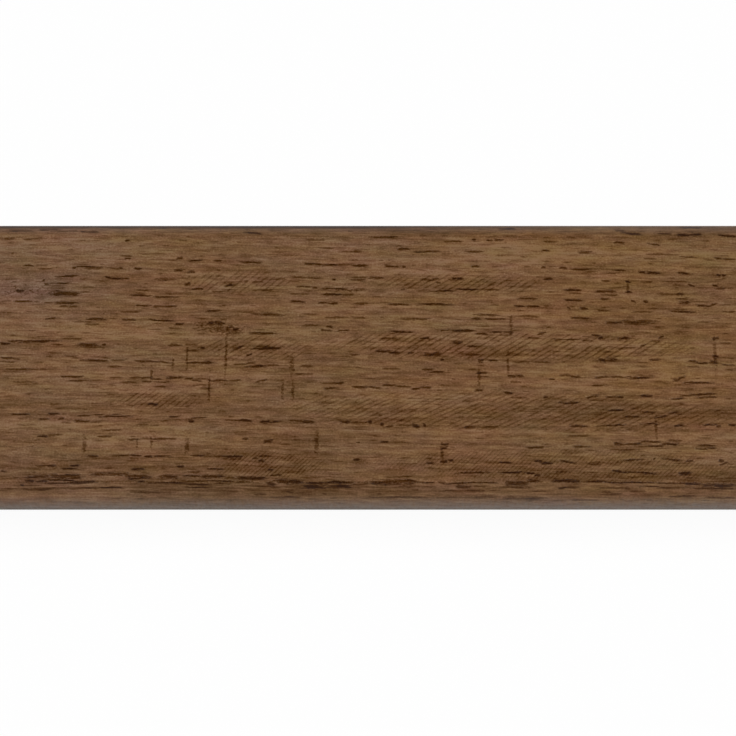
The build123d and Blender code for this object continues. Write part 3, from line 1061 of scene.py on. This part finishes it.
def wood_finish():
    """Brown wood with dark pores, ripple and saw marks, in bands along the strip, with painted shade lines
    along both edges and a painted grey sheen on the front edge.
    """
    material, tree, shader = new_material("wood_finish")
    flat = grain_place(tree)
    along, across = flat
    noise = {name: clouds(flat, *shape) for name, shape in STRAIGHT_NOISES.items()}
    grain = (along, across + noise["wander"] * WANDER)
    spot = (along, across + noise["wobble"] * WOBBLE)
    noise |= {name: clouds(grain, *shape) for name, shape in GRAIN_NOISES.items()}
    bead, chatter, fibre = noise["bead"], noise["chatter"], noise["fibre"]

    saw_closeness, saw_strength = marks_here(flat, "saw", 0)
    features = {
        "patch": noise["patch"],
        "streak": noise["streak"],
        "fibre": fibre,
        "speckle": noise["speckle"],
        "mist": noise["mist"],
        "pores": pore_shade(spot, grain, bead),
        "strand": step_up(noise["strand"] + noise["crowd"] * 0.4, 0.07, 0.2),
        "stream": step_up(noise["stream"], -0.1, 0.12) * from_mesh(tree, "stream"),
        "pale": step_up(from_mesh(tree, "pale") + bead * 1.2, 0.1, 0.75),
        "fleck": step_up(noise["fleck"], 0.1, 0.22),
        "rippled": ripple_shade(flat, noise),
        "sawn": step_up(saw_closeness + chatter * 3.0 + fibre * 0.8, 0.1, 0.9) * saw_strength,
        "mottle": step_up(from_mesh(tree, "mottle") + chatter * 3.4, 0.45, 1.15),
    }
    # Tones of the bands, with the painted shade lines along both edges
    tone = BASE_TONE + from_mesh(tree, "bands_and_edge_shade")
    for name, depth in FEATURE_TONES.items():
        tone = tone + features[name] * depth
    stops = [(level / TONE_SCALE, screen_colour(shade)) for level, shade in TONES]
    colour = ramp(tone / TONE_SCALE, stops)

    warmth = noise["warmth"] * 0.4 + noise["fine_warmth"] * 0.6
    flush = noise["flush"] * 0.5 + noise["fine_flush"] * 0.5
    cool = from_mesh(tree, "cool")
    tint = vector(1.0 + warmth * 0.1 + flush * 0.44 - cool * 0.15, 1.0, 1.0 + warmth * 0.9 + cool * 0.7)
    colour = make(tree, "ShaderNodeVectorMath", {0: colour, 1: tint}, operation="MULTIPLY")
    # The front edge is blended towards grey: a painted sheen all along it, and more in patches of wear
    worn = step_up(noise["wear"], -0.02, 0.16) * from_mesh(tree, "worn")
    painted_sheen_and_wear = from_mesh(tree, "painted_edge_sheen") * (0.44 + fibre * 0.4 + noise["ticks"] * 0.8) + worn * 0.3
    colour = blend(painted_sheen_and_wear, colour, screen_colour(PAINTED_SHEEN_AND_WEAR_COLOUR))
    height = fibre * 0.02 - features["pores"] * 0.01
    dull = 0.26 + noise["speckle"] * 0.08 + from_mesh(tree, "nose") * 0.36
    dress(shader, colour, height, dull, FINISH_GLOSS)
    return material


def raw_wood():
    """Plain planed wood, for the underside and the stem."""
    material, tree, shader = new_material("raw_wood")
    place = grain_place(tree)
    fibre = clouds(place, (5.0, 0.25), 31.0, 3.0)
    streak = clouds(place, (40.0, 1.4), 32.0, 3.0)
    pores = step_up(dash_field(place, *RAW_PORES) + fibre * 1.5, 0.2, 0.8)
    planed = maths("SINE", place[0] * (2 * pi / PLANER_STEP) + streak * 4.0)
    shade = 0.5 + fibre * 1.2 + streak * 1.2 - pores * 0.4 + planed * 0.04
    dress(shader, ramp(shade, RAW_SHADES), fibre * 0.05 - pores * 0.05, 0.75 + fibre * 0.2, RAW_GLOSS)
    return material


def sawn_end():
    """End grain as the saw left it: open pores, growth rings in line with the bands, and saw scratches."""
    material, tree, shader = new_material("sawn_end")
    place = grain_place(tree)
    across, height = place
    grit = clouds(place, (0.35, 0.35), 33.0, 3.0)
    waver = clouds(place, (6.0, 6.0), 34.0)
    rings = maths("SINE", (across + height * 0.5) * (2 * pi / RING_STEP) + waver * 5.0)
    pores = step_up(dash_field(place, *END_PORES), 0.1, 0.6)
    along_cut = across * SCRATCH_ALONG + height * SCRATCH_ACROSS
    across_cut = height * SCRATCH_ALONG - across * SCRATCH_ACROSS
    scratch = clouds((along_cut, across_cut), (12.0, 0.12), 35.0, 2.0)
    shade = 0.35 + grit * 0.7 + rings * 0.08 - pores * 0.35 + scratch * 0.5
    dress(shader, ramp(shade, RAW_SHADES), scratch * 0.06 - pores * 0.06, 0.85 + grit * 0.2, END_GLOSS)
    return material


strip = bpy.data.objects.new("t_moulding_strip", strip_mesh())
bpy.context.scene.collection.objects.link(strip)
for make_material in (wood_finish, raw_wood, sawn_end):
    strip.data.materials.append(make_material())
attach(strip, "root")
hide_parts("t_moulding")


# Floor, light and camera

def white_floor():
    """A large round pale floor that curves up into a wall. It shows white, with a faint shadow."""
    turn = np.linspace(0, pi / 2, FLOOR_STEPS)
    reach = FLOOR_RADIUS + FLOOR_CURVE * np.sin(turn)
    height = FLOOR_CURVE * (1 - np.cos(turn))
    profile = [*zip(reach, height), (reach[-1], WALL_HEIGHT)]
    around = np.linspace(0, 2 * pi, FLOOR_SIDES, endpoint=False)
    points = [(r * cos(a), r * sin(a), z) for r, z in profile for a in around]
    faces = [tuple(range(FLOOR_SIDES))]
    for ring in range(len(profile) - 1):
        for side in range(FLOOR_SIDES):
            beside = (side + 1) % FLOOR_SIDES
            low = ring * FLOOR_SIDES
            faces.append((low + side, low + FLOOR_SIDES + side, low + FLOOR_SIDES + beside, low + beside))
    mesh = bpy.data.meshes.new("floor")
    mesh.from_pydata(points, [], faces)
    mesh.polygons.foreach_set("use_smooth", np.ones(len(faces), bool))
    floor = bpy.data.objects.new("floor", mesh)
    bpy.context.scene.collection.objects.link(floor)

    material = bpy.data.materials.new("floor")
    material.use_nodes = True
    tree = material.node_tree
    tree.nodes.clear()
    path = tree.nodes.new("ShaderNodeLightPath").outputs
    seen = Field(tree, path["Is Camera Ray"]) + Field(tree, path["Is Glossy Ray"])
    seen = maths("ADD", seen, Field(tree, path["Is Transmission Ray"]), clamp=True)
    paint = make(tree, "ShaderNodeBsdfDiffuse", {"Color": FLOOR_PAINT})
    glow = make(tree, "ShaderNodeEmission", {"Color": WHITE, "Strength": 1.0})
    mixed = make(tree, "ShaderNodeMixShader", {0: seen * FLOOR_GLOW, 1: paint, 2: glow})
    out = tree.nodes.new("ShaderNodeOutputMaterial")
    tree.links.new(mixed.socket, out.inputs["Surface"])
    mesh.materials.append(material)


def softbox(name, place, size, power):
    """A square lamp at a place, turned to the strip's middle, in metres and watts."""
    lamp = bpy.data.lights.new(name, "AREA")
    lamp.shape = "SQUARE"
    lamp.size = size
    lamp.energy = power
    box = bpy.data.objects.new(name, lamp)
    box.location = place
    box.rotation_euler = (-Vector(place)).to_track_quat("-Z", "Y").to_euler()
    bpy.context.scene.collection.objects.link(box)


def studio():
    """A dim even room and two softboxes, one past each end."""
    world = bpy.data.worlds.new("studio")
    bpy.context.scene.world = world
    world.use_nodes = True
    backdrop = world.node_tree.nodes["Background"]
    backdrop.inputs["Color"].default_value = WHITE
    backdrop.inputs["Strength"].default_value = ROOM_LIGHT
    aside, back, above = SOFTBOX_PLACE
    for name, side in (("left_softbox", -1), ("right_softbox", 1)):
        softbox(name, (side * aside, back, above), SOFTBOX_SIZE, SOFTBOX_POWER)


def photo_camera():
    """The camera of the photo."""
    camera = bpy.data.cameras.new("camera")
    camera.lens = LENS
    camera.sensor_width = SENSOR
    camera.clip_start = 0.01
    eye = bpy.data.objects.new("camera", camera)
    eye.location = (0.0, view.eye[0] * MM, view.eye[1] * MM)
    eye.rotation_euler = (VIEW_LEAN, 0.0, 0.0)
    bpy.context.scene.collection.objects.link(eye)
    bpy.context.scene.camera = eye


white_floor()
studio()
photo_camera()
bpy.context.scene.view_settings.view_transform = "Standard"
